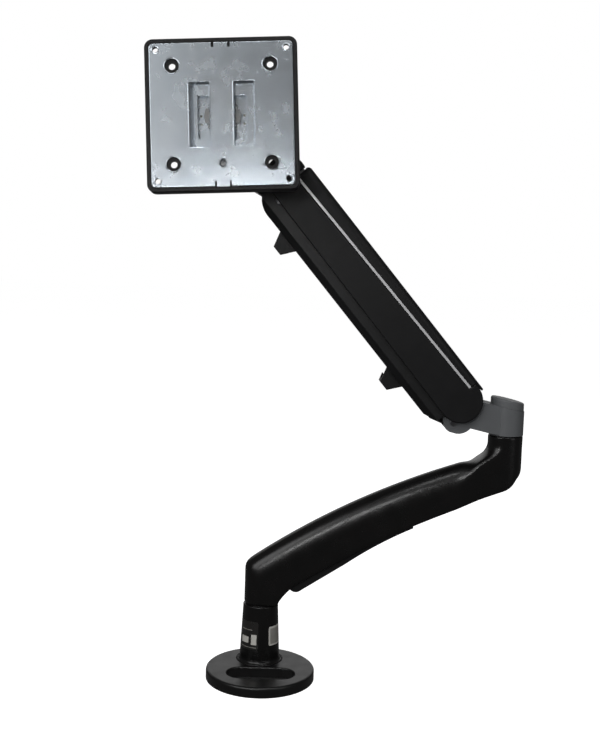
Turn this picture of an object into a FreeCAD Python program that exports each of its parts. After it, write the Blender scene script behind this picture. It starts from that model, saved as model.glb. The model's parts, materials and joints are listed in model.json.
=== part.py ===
import FreeCAD, Part
import math
import os

# Gas-sprung monitor arm on a round base. Millimetres.
# Frame: +Z up, origin on the base swivel's axis in the plane of the base's underside,
# +X along the lower arm, -Y the side that the mounting plate faces.

V = FreeCAD.Vector
X, Y, Z = V(1, 0, 0), V(0, 1, 0), V(0, 0, 1)

# Heights below are counted from a level GROUND under the base's underside.
GROUND = 3.3

# Base
DISC_R = 46.3
DISC_TOP = 12.0
DISC_X = 1.5
DISC_Y = -20.5
PAD_T = 1.5
CABLE_SLOT_LENGTH = 57.3
CABLE_SLOT_WIDTH = 24.0
CABLE_SLOT_X = 2.5
CABLE_SLOT_Y = -34.5
POST_BOTTOM_R = 17.4
POST_TOP_R = 15.1
POST_TOP = 62.0
POST_BORE_R = 10.0
CLAMP_THREAD_R = 3.4
SIDE_THREAD_R = 2.1
SIDE_THREAD_SPACING = 70.0
SIDE_THREAD_DEPTH = 6.5
POST_SCREW_RING_R = 13.4

# Swivel joints: base and elbow
BASE_SHAFT_R = 8.0
ELBOW_SHAFT_R = 7.0
RUNNING = 0.05
SEAM = 0.6
BUSH_LENGTH = 11.0

# Lower arm
HUB_R = 14.4
ELBOW_X = 206.4
ELBOW_POST_TOP = 215.7
ELBOW_BORE_R = 9.0
ELBOW_BORE_BOTTOM = 184.0
CORE_HALF = 9.5
COVER_HALF = 11.5
COVER_END_X = 129.0
COVER_SCREWS = ((58.0, 92.6), (104.0, 119.4))
COVER_SCREW_R = 1.4
COVER_HEAD_R = 2.6
COVER_SQUARE = V(-0.52, 0, 0.854)

# Elbow bracket
BRACKET_R = 14.6
BRACKET_HALF = 12.5
CLEVIS_HALF = 8.0
BRACKET_TOP = 240.0
BRACKET_SLOPE = 12.0
LOBE = V(163.5, 0, 230.8)
LOBE_R = 13.4
CAP_T = 6.8

# Spring arm: a parallelogram A-B (upper link) and C-D (lower link)
ARM_A = V(164.0, 0, 246.0)
ARM_RISE = 50.0
ARM_LENGTH = 237.0
LINK_DROP = V(-4.4, 0, -19.2)
LIFT_PIN_R = 4.0
LEVEL_PIN_R = 3.0
COVER_OUTER = 19.0
COVER_INNER = 16.5
BEAM_INNER = 13.5
TOP_SKIN = 2.5
TOP_HEIGHT = 21.2
LOWER_OUTER = 16.0
LOWER_INNER = 13.6
LOWER_DEPTH = -31.3
TONGUE_IN = 5.0
TONGUE_OUT = 7.5
TONGUE_EYE_R = 5.5
TONGUE_REACH = 26.0
PIN_INNER = 4.85
TRIM_HALF = 1.0
TRIM_START = 4.4
TRIM_STOP = 232.6

# Gas spring
SPRING_OFFSET = 11.0
SPRING_FAR_U = 185.0
SPRING_FAR_V = 3.0
SPRING_EYE_V = -10.2
TUBE_R = 9.5
TUBE_BORE_R = 8.3
ROD_R = 4.0
ANCHOR_R = 2.5
ANCHOR_EYE_R = 4.2

# Head: swivel, tilt and rotation
PAN_X = -36.4
PAN_BOTTOM = 424.0
PAN_TOP = 438.0
PAN_BUSH = 6.0
PAN_R = 13.5
PAN_SHAFT_R = 5.0
PAN_TURN = -0.5
TILT_Z = 464.7
TILT_REACH = 33.5
TILT_TURN = -5.2
TILT_BOLT_R = 4.0
ROTATION_TURN = -3.0
FACE = 44.0
PLATE_SIDE = 110.0
TRAY_SIDE = 117.0
PLATE_T = 2.0
VESA_INNER = 37.5
VESA_OUTER = 50.0
CARRIER_SCREW_R = 1.8


# ---- small helpers -------------------------------------------------------------------------

def cyl(r, start, along, length):
    return Part.makeCylinder(r, length, start, along)


def tube(r_out, r_in, start, along, length):
    return cyl(r_out, start, along, length).cut(cyl(r_in, start, along, length))


def box(x0, x1, y0, y1, z0, z1):
    return Part.makeBox(x1 - x0, y1 - y0, z1 - z0, V(x0, y0, z0))


def fuse(shapes):
    whole = shapes[0].multiFuse(shapes[1:]) if len(shapes) > 1 else shapes[0]
    return whole.removeSplitter()


def side_face(path):
    """A face in the XZ plane. path holds (x, z) points; a point with a middle, as
    (x, z, mid_x, mid_z), is reached by an arc through that middle."""
    edges = []
    first = V(path[0][0], 0, path[0][1])
    here = first
    for step in list(path[1:]) + [path[0][:2]]:
        there = V(step[0], 0, step[1])
        if len(step) == 4:
            edges.append(Part.Arc(here, V(step[2], 0, step[3]), there).toShape())
        elif here.distanceToPoint(there) > 1e-6:
            edges.append(Part.LineSegment(here, there).toShape())
        here = there
    return Part.Face(Part.Wire(edges))


def slab(path, y0, y1):
    """The outline in the XZ plane, thickened from y0 to y1."""
    face = side_face(path)
    face.translate(V(0, y0, 0))
    return face.extrude(V(0, y1 - y0, 0))


def both_sides(path, inner, outer):
    """Two equal slabs, one on each side of the XZ plane."""
    return [slab(path, -outer, -inner), slab(path, inner, outer)]


def rounded_rectangle(width, height, radius, y0, y1):
    """A plate in the XZ plane with round corners, from y0 to y1."""
    plate = box(-width / 2, width / 2, y0, y1, -height / 2, height / 2)
    upright = [e for e in plate.Edges if e.tangentAt(e.FirstParameter).cross(Y).Length < 1e-6]
    return plate.makeFillet(radius, upright)


def edges_where(shape, test):
    return [e for e in shape.Edges if test(e)]


def solid_of(shape):
    """The one solid of a shape that should hold a single solid."""
    solids = shape.Solids
    return max(solids, key=lambda s: s.Volume)


# ---- frames of the spring arm and of the head ----------------------------------------------

def arm_placement():
    """Local X runs from A to B, local Z is the arm's top side, origin at A."""
    c, s = math.cos(math.radians(ARM_RISE)), math.sin(math.radians(ARM_RISE))
    m = FreeCAD.Matrix(-c, 0, s, ARM_A.x, 0, -1, 0, ARM_A.y, s, 0, c, ARM_A.z, 0, 0, 0, 1)
    return FreeCAD.Placement(m)


def on_arm(shape):
    placed = shape.copy()
    placed.Placement = arm_placement().multiply(placed.Placement)
    return placed


def in_arm(point):
    """A point of the row's frame in the spring arm's local frame."""
    return arm_placement().inverse().multVec(point)


def head_placement():
    """Origin on the tilt axis; local -Y points out of the plate; no plate rotation."""
    pan = FreeCAD.Placement(V(PAN_X, 0, 0), FreeCAD.Rotation(Z, PAN_TURN))
    tilt = FreeCAD.Placement(V(0, -TILT_REACH, TILT_Z), FreeCAD.Rotation(X, TILT_TURN))
    return pan.multiply(tilt)


def on_pan(shape):
    placed = shape.copy()
    placed.Placement = FreeCAD.Placement(
        V(PAN_X, 0, 0), FreeCAD.Rotation(Z, PAN_TURN)).multiply(placed.Placement)
    return placed


def on_tilt(shape):
    placed = shape.copy()
    placed.Placement = head_placement().multiply(placed.Placement)
    return placed


def on_plate(shape):
    placed = shape.copy()
    turn = FreeCAD.Placement(V(0, 0, 0), FreeCAD.Rotation(Y, ROTATION_TURN))
    placed.Placement = head_placement().multiply(turn).multiply(placed.Placement)
    return placed


A = ARM_A
C = ARM_A + LINK_DROP
B = arm_placement().multVec(V(ARM_LENGTH, 0, 0))
D = B + LINK_DROP
LINK_C = in_arm(C)
LINK_D = in_arm(D)


# ---- base ----------------------------------------------------------------------------------

def cable_slot(grown, z0, z1):
    """The long slot's shape, grown all round, from z0 to z1."""
    r = CABLE_SLOT_WIDTH / 2 + grown
    half = (CABLE_SLOT_LENGTH - CABLE_SLOT_WIDTH) / 2
    x0, x1 = CABLE_SLOT_X - half, CABLE_SLOT_X + half
    ends = [cyl(r, V(x, CABLE_SLOT_Y, z0), Z, z1 - z0) for x in (x0, x1)]
    middle = box(x0, x1, CABLE_SLOT_Y - r, CABLE_SLOT_Y + r, z0, z1)
    return fuse(ends + [middle])


def post_screw_places():
    return [V(POST_SCREW_RING_R * math.cos(math.radians(a)),
              POST_SCREW_RING_R * math.sin(math.radians(a)), GROUND) for a in (90, 210, 330)]


def side_thread_places():
    return [V(DISC_X + x, DISC_Y, GROUND) for x in (-SIDE_THREAD_SPACING / 2, SIDE_THREAD_SPACING / 2)]


def base_plate():
    disc = cyl(DISC_R, V(DISC_X, DISC_Y, GROUND), Z, DISC_TOP - GROUND)
    disc = disc.makeFillet(2.0, edges_where(disc, lambda e: e.BoundBox.ZMin > DISC_TOP - 0.1
                                            and e.BoundBox.XLength > 2 * DISC_R - 1))
    disc = disc.cut(cable_slot(0.0, GROUND - 1, DISC_TOP + 1))
    rims = edges_where(disc, lambda e: e.BoundBox.ZMin > DISC_TOP - 0.1 and
                       e.BoundBox.YMax < CABLE_SLOT_Y + CABLE_SLOT_WIDTH / 2 + 0.1 and
                       e.BoundBox.YMin > CABLE_SLOT_Y - CABLE_SLOT_WIDTH / 2 - 0.1)
    disc = disc.makeFillet(1.2, rims)
    cuts = [base_pad(), cyl(CLAMP_THREAD_R, V(0, 0, GROUND - 1), Z, DISC_TOP)]
    cuts += [cyl(SIDE_THREAD_R, p - Z, Z, SIDE_THREAD_DEPTH + 1) for p in side_thread_places()]
    for p in post_screw_places():
        cuts.append(cyl(2.6, p - Z, Z, DISC_TOP + 2))
        cuts.append(Part.makeCone(5.0, 2.6, 2.6, p + V(0, 0, PAD_T), Z))
        cuts.append(cyl(5.0, p - Z, Z, PAD_T + 1))
    return disc.cut(fuse(cuts))


def base_pad():
    """The ring of foam that is let into the underside, clear of the slot and the threads."""
    ring = tube(DISC_R - 3.0, DISC_R - 11.0, V(DISC_X, DISC_Y, GROUND), Z, PAD_T)
    holes = [cyl(6.0, p - Z, Z, PAD_T + 2) for p in side_thread_places()]
    return ring.cut(fuse([cable_slot(3.0, GROUND - 1, DISC_TOP)] + holes))


def base_post():
    post = Part.makeCone(POST_BOTTOM_R, POST_TOP_R, POST_TOP - DISC_TOP, V(0, 0, DISC_TOP), Z)
    foot = Part.makeTorus(POST_BOTTOM_R + 3.0, 3.0, V(0, 0, DISC_TOP + 3.0), Z)
    skirt = cyl(POST_BOTTOM_R + 3.0, V(0, 0, DISC_TOP), Z, 3.0).cut(foot)
    post = fuse([post, skirt])
    post = post.makeFillet(1.0, edges_where(post, lambda e: e.BoundBox.ZMin > POST_TOP - 0.1))
    cuts = [cyl(POST_BORE_R, V(0, 0, DISC_TOP + 8), Z, POST_TOP)]
    cuts += [cyl(2.1, p, Z, DISC_TOP + 14) for p in post_screw_places()]
    cuts.append(cyl(2.1, V(0, 9, 40), Y, 12))
    return post.cut(fuse(cuts))


def post_screws():
    screws = []
    for p in post_screw_places():
        head = Part.makeCone(4.8, 2.1, 2.7, p + V(0, 0, PAD_T + 0.1), Z)
        shank = cyl(2.1, p + V(0, 0, PAD_T + 0.1), Z, 20.0)
        drive = Part.makeBox(2.4, 2.4, 2.0, p + V(-1.2, -1.2, PAD_T))
        screws.append(fuse([head, shank]).cut(drive))
    return screws


def bush(centre, shaft_r, bore_r, bottom, length):
    return tube(bore_r, shaft_r + RUNNING, V(centre, 0, bottom), Z, length)


def grub_screw(start, along, length, r):
    body = cyl(r, start, along, length)
    drive = cyl(r * 0.5, start + along * (length - 2.0), along, 3.0)
    return body.cut(drive)


def swivel_shaft(x, r, bottom, top, groove_z):
    shaft = cyl(r, V(x, 0, bottom), Z, top - bottom)
    shaft = shaft.makeChamfer(0.8, shaft.Edges[:1] + shaft.Edges[2:3])
    return shaft.cut(tube(r + 1, r - 1.2, V(x, 0, groove_z - 2.5), Z, 5.0))


# ---- lower arm -----------------------------------------------------------------------------

def plan_stadium(z0, z1):
    """The lower arm seen from above: straight sides between two round ends."""
    sides = [Part.LineSegment(V(0, -HUB_R, z0), V(ELBOW_X, -HUB_R, z0)),
             Part.Arc(V(ELBOW_X, -HUB_R, z0), V(ELBOW_X + HUB_R, 0, z0), V(ELBOW_X, HUB_R, z0)),
             Part.LineSegment(V(ELBOW_X, HUB_R, z0), V(0, HUB_R, z0)),
             Part.Arc(V(0, HUB_R, z0), V(-HUB_R, 0, z0), V(0, -HUB_R, z0))]
    return Part.Face(Part.Wire([s.toShape() for s in sides])).extrude(V(0, 0, z1 - z0))


def lower_arm_outline():
    hub_foot = POST_TOP + SEAM
    left = -HUB_R - 0.5
    right = ELBOW_X + HUB_R + 0.5
    post_left = ELBOW_X - HUB_R - 0.6
    return [
        (left, hub_foot), (left, 97.0), (-9.0, 102.6),
        (170.0, 191.6, 78.0, 154.2), (post_left, 208.0, 184.6, 196.0),
        (post_left, ELBOW_POST_TOP), (right, ELBOW_POST_TOP), (right, 188.0),
        (215.0, 178.6, 219.3, 183.4), (205.0, 168.9, 211.5, 173.4),
        (92.5, 118.4, 151.0, 147.2), (30.0, 81.8, 60.5, 99.8),
        (HUB_R + 0.9, 65.6, 19.6, 71.6), (HUB_R + 0.9, hub_foot)]


def lower_arm_casting():
    outer = slab(lower_arm_outline(), -HUB_R - 1, HUB_R + 1)
    casting = outer.common(plan_stadium(POST_TOP + SEAM, ELBOW_POST_TOP))
    casting = solid_of(casting).removeSplitter()
    casting = round_upper_edges(casting)
    core = slab([(26.0, 92.0), (160.0, 182.5, 76.0, 147.5), (186.0, 190.0), (186.0, 164.5),
                 (131.0, 141.6, 158.0, 153.6), (COVER_END_X - 1.4, 139.6), (COVER_END_X - 1.4, 130.0),
                 (92.5, 112.0), (42.0, 82.0)], -CORE_HALF, CORE_HALF)
    cuts = [
        core,
        cyl(BASE_SHAFT_R, V(0, 0, POST_TOP), Z, 34.0),
        cyl(ELBOW_BORE_R, V(ELBOW_X, 0, ELBOW_BORE_BOTTOM), Z, 60.0),
        cyl(2.1, V(0, 0, 76), Y, 30.0),
        cyl(2.1, V(ELBOW_X, 0, 199), Y, 30.0)]
    return solid_of(casting.cut(fuse(cuts)))


def round_upper_edges(casting):
    """The upper edges, round the hub's end too, have a wide radius, the lower ones a small one."""
    def level(e):
        return abs(abs(e.BoundBox.YMin) - HUB_R) < 0.01 and e.BoundBox.YLength < 0.01

    def upper(e):
        b = e.BoundBox
        hub_end = b.XMax < 0.1 and b.ZMin > 90 and b.ZMax < 110 and (b.XLength > 5)
        return hub_end or (level(e) and b.XLength > 100 and b.ZMax > 185)

    def lower(e):
        b = e.BoundBox
        return level(e) and b.XLength > 10 and b.ZMin > 60 and b.ZMax < 170

    casting = casting.makeFillet(5.0, edges_where(casting, upper))
    return casting.makeFillet(2.0, edges_where(casting, lower))


def cover_screw_shapes(slack):
    """The cover's two screws, square to its slope, each grown by the slack all round."""
    shapes = []
    for x, z in COVER_SCREWS:
        head = cyl(COVER_HEAD_R + slack, V(x, 0, z) - COVER_SQUARE * 6.0, COVER_SQUARE, 7.6)
        shank = cyl(COVER_SCREW_R + slack, V(x, 0, z), COVER_SQUARE, 5.6)
        shapes.append((head, shank))
    return shapes


def cable_cover():
    """A moulded lid under the arm's core, cut to the casting's underside."""
    lid = slab([(31.0, 84.2), (92.5, 121.0, 61.0, 103.0), (COVER_END_X, 139.0, 110.0, 130.0),
                (COVER_END_X, 134.4), (72.0, 101.4, 102.0, 120.6), (34.0, 76.8), (24.6, 78.4, 28.4, 75.6)],
               -COVER_HALF, COVER_HALF)
    lid = lid.cut(slab(lower_arm_outline(), -2 * HUB_R, 2 * HUB_R))
    for head, shank in cover_screw_shapes(0.05):
        lid = lid.cut(fuse([head, shank]))
    return solid_of(lid)


def cover_screws():
    screws = []
    for x, z in COVER_SCREWS:
        head = cyl(COVER_HEAD_R, V(x, 0, z), COVER_SQUARE, 1.6)
        shank = cyl(COVER_SCREW_R, V(x, 0, z), COVER_SQUARE, 5.6)
        screws.append(fuse([head, shank]))
    return screws


# ---- elbow bracket -------------------------------------------------------------------------

def sloping_cut(height):
    """Everything above the bracket's sloping top, raised by height."""
    slope = math.tan(math.radians(BRACKET_SLOPE))
    left, right = 100.0, 260.0
    at = [BRACKET_TOP + height - slope * (x - ELBOW_X) for x in (left, right)]
    return slab([(left, at[0]), (right, at[1]), (right, 320.0), (left, 320.0)], -40, 40)


def elbow_bracket():
    foot = ELBOW_POST_TOP + SEAM
    barrel = cyl(BRACKET_R, V(ELBOW_X, 0, foot), Z, 40.0)
    arm = slab([(ELBOW_X, foot), (193.0, foot + 1.6), (173.0, 222.4), (C.x, C.z), (A.x - 9.0, A.z - 6.0),
                (A.x, A.z), (ELBOW_X, 255.0)], -BRACKET_HALF, BRACKET_HALF)
    body = fuse([barrel, arm]).cut(sloping_cut(0.0))
    eyes = [cyl(10.0, V(A.x, -BRACKET_HALF, A.z), Y, 2 * BRACKET_HALF),
            cyl(8.6, V(C.x, -BRACKET_HALF, C.z), Y, 2 * BRACKET_HALF),
            cyl(LOBE_R, V(LOBE.x, -BRACKET_HALF, LOBE.z), Y, 2 * BRACKET_HALF)]
    body = fuse([body] + eyes)
    anchor = spring_anchor()
    cuts = [
        box(120.0, 183.0, -CLEVIS_HALF, CLEVIS_HALF, 200.0, 280.0),
        cyl(LIFT_PIN_R, V(A.x, -20, A.z), Y, 40.0),
        cyl(LEVEL_PIN_R, V(C.x, -20, C.z), Y, 40.0),
        cyl(ANCHOR_R, V(anchor.x, -20, anchor.z), Y, 40.0),
        cyl(ELBOW_SHAFT_R, V(ELBOW_X, 0, foot - 1), Z, 19.0)]
    return solid_of(body.cut(fuse(cuts)))


def elbow_cap():
    cap = cyl(BRACKET_R - 0.5, V(ELBOW_X, 0, 225.0), Z, 40.0)
    cap = cap.cut(sloping_cut(CAP_T)).common(sloping_cut(0.0))
    cap = solid_of(cap)
    rim = edges_where(cap, lambda e: e.BoundBox.ZMax > BRACKET_TOP + CAP_T + 1.0
                      and e.BoundBox.XLength > 20)
    return cap.makeFillet(1.6, rim)


def spring_anchor():
    """Where the gas spring's rod pushes on the bracket, on the line from A to C."""
    return A + LINK_DROP * (SPRING_OFFSET / LINK_DROP.Length)


def cross_pin(centre, r, half):
    return cyl(r, V(centre.x, -half, centre.z), Y, 2 * half)


def stub_pins(centre, r, inner, outer):
    """A pin in two halves, one in each cheek, with the middle left free."""
    return [cyl(r, V(centre.x, y, centre.z), Y, outer - inner) for y in (-outer, inner)]


# ---- spring arm: upper link ----------------------------------------------------------------

def trim_line(u):
    """Height of the seam between side cover and top cover, along the arm."""
    return 13.0 - 5.3 * u / 226.0


def side_cover_outline():
    """Round ends of the arm's full height; between them the top edge follows the trim."""
    low, high = TRIM_START - 0.4, TRIM_STOP + 0.4
    return [(low, trim_line(low) - TRIM_HALF), (low, 18.2), (0.0, -18.6, -18.6, 0.0),
            (ARM_LENGTH, -16.8), (high, 17.5, 254.4, 0.6), (high, trim_line(high) - TRIM_HALF)]


def side_cover(sign):
    """A moulded panel with a bevelled outer edge, screwed to the beam."""
    lows, highs = sorted((sign * COVER_INNER, sign * COVER_OUTER))
    panel = slab(side_cover_outline(), lows, highs)
    outer = edges_where(panel, lambda e: abs(e.BoundBox.YMin - sign * COVER_OUTER) < 1e-3
                        and e.BoundBox.YLength < 1e-3)
    panel = panel.makeFillet(1.0, outer)
    return on_arm(panel)


def trim_strips():
    """A thin bright strip in the seam on each side, between the panel's round ends."""
    start, stop = TRIM_START, TRIM_STOP
    bar = [(start, trim_line(start) - TRIM_HALF), (stop, trim_line(stop) - TRIM_HALF),
           (stop, trim_line(stop) + TRIM_HALF), (start, trim_line(start) + TRIM_HALF)]
    return [on_arm(strip) for strip in both_sides(bar, COVER_INNER, COVER_OUTER + 0.3)]


def top_cover():
    """A channel with round shoulders and a small lip over the elbow end."""
    start, stop, lip = TRIM_START, TRIM_STOP, -4.0
    outline = [(start, trim_line(start) + TRIM_HALF), (stop, trim_line(stop) + TRIM_HALF),
               (stop, TOP_HEIGHT - 4.0), (stop - 4.0, TOP_HEIGHT, stop - 1.2, TOP_HEIGHT - 1.2),
               (lip, TOP_HEIGHT), (lip, TOP_HEIGHT - 2.0), (start, TOP_HEIGHT - 2.4)]
    cover = slab(outline, -COVER_OUTER, COVER_OUTER)
    shoulders = edges_where(cover, lambda e: e.BoundBox.ZMin > TOP_HEIGHT - 0.01
                            and e.BoundBox.YLength < 1e-3)
    cover = cover.makeFillet(6.0, shoulders)
    inside = slab([(lip - 9, 0), (stop + 9, 0), (stop + 9, TOP_HEIGHT - TOP_SKIN),
                   (lip - 9, TOP_HEIGHT - TOP_SKIN)], -COVER_INNER, COVER_INNER)
    inside = inside.makeFillet(4.0, edges_where(
        inside, lambda e: e.BoundBox.ZMin > TOP_HEIGHT - TOP_SKIN - 0.01 and e.BoundBox.YLength < 1e-3))
    return on_arm(solid_of(cover.cut(inside)))


def arm_beam():
    """The load-carrying channel, open downwards, with an eye at each end."""
    top = 16.6
    wall = [(2.0, -3.0), (ARM_LENGTH - 2.0, -3.0), (ARM_LENGTH + 7.0, 3.0), (ARM_LENGTH + 4.0, top - 4.0),
            (ARM_LENGTH - 6.0, top), (8.0, top), (-6.0, 8.0)]
    walls = both_sides(wall, BEAM_INNER, COVER_INNER)
    for u in (0.0, ARM_LENGTH):
        for y in (-COVER_INNER, BEAM_INNER):
            walls.append(cyl(10.0, V(u, y, 0), Y, COVER_INNER - BEAM_INNER))
    web = box(12.0, ARM_LENGTH - 10.0, -COVER_INNER, COVER_INNER, top - 3.0, top)
    beam = fuse(walls + [web])
    cuts = [cyl(LIFT_PIN_R + 1.0, V(u, -20, 0), Y, 40.0) for u in (0.0, ARM_LENGTH)]
    cuts.append(cyl(LEVEL_PIN_R, V(SPRING_FAR_U, -20, SPRING_FAR_V), Y, 40.0))
    corners = edges_where(beam, lambda e: e.BoundBox.ZMin > top - 0.01 and e.BoundBox.YLength < 1e-3
                          and e.BoundBox.XLength > 50)
    beam = beam.makeFillet(3.0, corners)
    return on_arm(solid_of(beam.cut(fuse(cuts))))


def beam_bushes():
    bushes = []
    for u in (0.0, ARM_LENGTH):
        for y in (-COVER_INNER, BEAM_INNER):
            ring = tube(LIFT_PIN_R + 1.0, LIFT_PIN_R + RUNNING, V(u, y, 0), Y, COVER_INNER - BEAM_INNER)
            bushes.append(on_arm(ring))
    return bushes


def side_cover_screws():
    """Short screws that hold the side covers, heads sunk in from the inside of the beam."""
    screws = []
    for sign in (-1, 1):
        for u in (40.0, 120.0, 205.0):
            start = V(u, sign * (BEAM_INNER - 1.2), 7.0)
            along = Y * sign
            head = cyl(2.8, start, along, 1.2)
            screws.append(on_arm(head))
    return screws


# ---- gas spring ----------------------------------------------------------------------------

def spring_line():
    """The spring's start at the rod eye, its direction, and its length, in the arm's frame."""
    eye = in_arm(spring_anchor())
    start = V(eye.x, 0, SPRING_EYE_V)
    end = V(SPRING_FAR_U, 0, SPRING_FAR_V)
    along = end - start
    length = along.Length
    along.normalize()
    return start, along, length


def gas_cylinder():
    start, along, length = spring_line()
    body = cyl(TUBE_R, start + along * 46.0, along, length - 46.0 - 11.0)
    body = body.cut(cyl(TUBE_BORE_R, start + along * 45.0, along, length - 45.0 - 15.0))
    end = start + along * length
    lug = fuse([cyl(6.5, end - Y * 5.0, Y, 10.0), cyl(5.0, end - along * 12.0, along, 8.0)])
    lug = lug.cut(cyl(LEVEL_PIN_R, end - Y * 10.0, Y, 20.0))
    return on_arm(solid_of(fuse([body, lug])))


def gas_gland():
    start, along, _ = spring_line()
    ring = tube(TUBE_BORE_R, ROD_R + RUNNING, start + along * 46.0, along, 10.0)
    return on_arm(ring)


def gas_rod():
    start, along, _ = spring_line()
    rod = cyl(ROD_R, start + along * 11.0, along, 100.0)
    piston = cyl(TUBE_BORE_R - RUNNING, start + along * 104.0, along, 7.0)
    return on_arm(fuse([rod, piston]))


def rod_eye():
    start, along, _ = spring_line()
    ring = cyl(7.0, start - Y * 4.4, Y, 8.8)
    shank = cyl(5.4, start + along * 4.0, along, 12.0)
    eye = fuse([ring, shank])
    flats = [box(-60, 60, 4.4, 20, -60, 60), box(-60, 60, -20, -4.4, -60, 60)]
    cuts = flats + [cyl(ANCHOR_EYE_R, start - Y * 10.0, Y, 20.0),
                    cyl(ROD_R, start + along * 11.0, along, 10.0)]
    return on_arm(solid_of(eye.cut(fuse(cuts))))


# ---- spring arm: lower link ----------------------------------------------------------------

def long_wedges(section):
    """A section of (y, z) points run along the whole link, and its mirror image."""
    wedges = []
    for sign in (-1, 1):
        ring = [V(-40, sign * y, z) for y, z in section + section[:1]]
        wedges.append(Part.Face(Part.makePolygon(ring)).extrude(V(320, 0, 0)))
    return wedges


def lower_link():
    """A channel open upwards, with two tongues at each end that reach the level pins."""
    top = -14.5
    start, stop = -1.5, ARM_LENGTH + 1.0
    outline = [(start, top), (start, -26.2), (10.0, LOWER_DEPTH), (219.0, LOWER_DEPTH),
               (stop - 4.0, -27.6, 227.4, -30.6), (stop, -24.0), (stop, top)]
    shell = slab(outline, -LOWER_OUTER, LOWER_OUTER)
    inside = slab([(-40, -28.9), (300, -28.9), (300, 0), (-40, 0)], -LOWER_INNER, LOWER_INNER)
    bevels = long_wedges([(LOWER_OUTER + 1, -24.5), (LOWER_OUTER + 1, -40), (8.0, -40),
                          (11.4, LOWER_DEPTH), (LOWER_OUTER, -25.6)])
    inner_bevels = long_wedges([(LOWER_INNER, -26.5), (LOWER_INNER, -28.9), (11.0, -28.9)])
    fill = fuse(inner_bevels).common(slab(outline, -LOWER_OUTER, LOWER_OUTER))
    shell = fuse([shell.cut(inside), fill]).cut(fuse(bevels))
    tongues = []
    for end, side in ((LINK_C, 1), (LINK_D, -1)):
        root = end.x + side * TONGUE_REACH
        bar = [(end.x + side * 1.0, end.z + 4.8), (root, -21.4), (root + side * 8.0, -22.0),
               (root + side * 8.0, -29.5), (end.x + side * 15.0, -29.5), (end.x - side * 1.0, end.z - 5.4)]
        tongues += both_sides(bar, TONGUE_IN, TONGUE_OUT)
        for y in (-TONGUE_OUT, TONGUE_IN):
            tongues.append(cyl(TONGUE_EYE_R, V(end.x, y, end.z), Y, TONGUE_OUT - TONGUE_IN))
    link = fuse([shell] + tongues)
    holes = [cyl(LEVEL_PIN_R + RUNNING, V(LINK_C.x, -20, LINK_C.z), Y, 40.0),
             cyl(LEVEL_PIN_R + 0.3, V(LINK_D.x, -20, LINK_D.z), Y, 40.0)]
    return on_arm(solid_of(link.cut(fuse(holes))))


def cable_clip(u):
    """A J-shaped hook under the lower link; cables press in past its short leg."""
    root, tip = LOWER_DEPTH, LOWER_DEPTH - 12.0
    side = [(u - 10.5, root), (u - 4.6, tip), (u + 4.2, tip), (u + 10.5, root)]
    block = slab(side, -9.0, 9.0)
    passage = box(u - 20, u + 20, -6.0, 6.0, tip + 2.6, root + 1)
    mouth = box(u - 20, u + 20, -10.0, -5.0, tip + 6.4, root + 1)
    return on_arm(solid_of(block.cut(fuse([passage, mouth]))))


# ---- head bracket --------------------------------------------------------------------------

def head_bracket():
    """Held level by the two links: eyes for B and D on the right, the swivel post on the left."""
    side = [(B.x, B.z + 9.0), (-20.0, B.z + 9.4), (-30.0, PAN_TOP - 2), (PAN_X, PAN_TOP - 2),
            (PAN_X, PAN_BOTTOM + 2), (-30.0, PAN_BOTTOM + 2), (-17.5, 417.4), (D.x - 10.0, 409.4),
            (D.x, D.z), (B.x + 8.0, B.z)]
    arm = slab(side, -BRACKET_HALF, BRACKET_HALF)
    eyes = [cyl(9.0, V(B.x, -BRACKET_HALF, B.z), Y, 2 * BRACKET_HALF),
            cyl(8.6, V(D.x, -BRACKET_HALF, D.z), Y, 2 * BRACKET_HALF)]
    post = cyl(PAN_R, V(PAN_X, 0, PAN_BOTTOM), Z, PAN_TOP - PAN_BOTTOM)
    post = post.makeFillet(1.5, edges_where(post, lambda e: e.BoundBox.ZLength < 0.01))
    body = fuse([arm, post] + eyes)
    cuts = [
        box(-11.0, 60.0, -CLEVIS_HALF, CLEVIS_HALF, 380.0, 450.0),
        cyl(LIFT_PIN_R, V(B.x, -20, B.z), Y, 40.0),
        cyl(LEVEL_PIN_R, V(D.x, -20, D.z), Y, 40.0),
        cyl(PAN_SHAFT_R + 2.0, V(PAN_X, 0, PAN_BOTTOM - 1), Z, 40.0)]
    return solid_of(body.cut(fuse(cuts)))


# ---- head: swivel yoke ---------------------------------------------------------------------

def swivel_yoke():
    base_z = PAN_TOP + 0.5
    foot = cyl(PAN_R, V(0, 0, base_z), Z, 7.0)
    bridge = box(-21.0, 21.0, -TILT_REACH - 3.0, 0, base_z, base_z + 7.0)
    bridge = bridge.cut(box(-30, -PAN_R, -8.0, 1.0, 400, 500)).cut(box(PAN_R, 30, -8.0, 1.0, 400, 500))
    cheeks = []
    for sign in (-1, 1):
        x0, x1 = sorted((sign * 14.6, sign * 21.0))
        cheek = [(-TILT_REACH - 3.0, base_z), (-8.0, base_z), (-8.0, base_z + 7.0),
                 (-TILT_REACH + 11.0, TILT_Z), (-TILT_REACH, TILT_Z), (-TILT_REACH - 11.0, TILT_Z)]
        face = Part.Face(Part.makePolygon([V(x0, y, z) for y, z in cheek + cheek[:1]]))
        cheeks.append(face.extrude(V(x1 - x0, 0, 0)))
        cheeks.append(cyl(11.0, V(x0, -TILT_REACH, TILT_Z), X, x1 - x0))
    body = fuse([foot, bridge] + cheeks)
    cuts = [
        cyl(TILT_BOLT_R, V(-40, -TILT_REACH, TILT_Z), X, 80.0),
        cyl(PAN_SHAFT_R, V(0, 0, base_z - 1), Z, 6.5)]
    return on_pan(solid_of(body.cut(fuse(cuts))))


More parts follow.
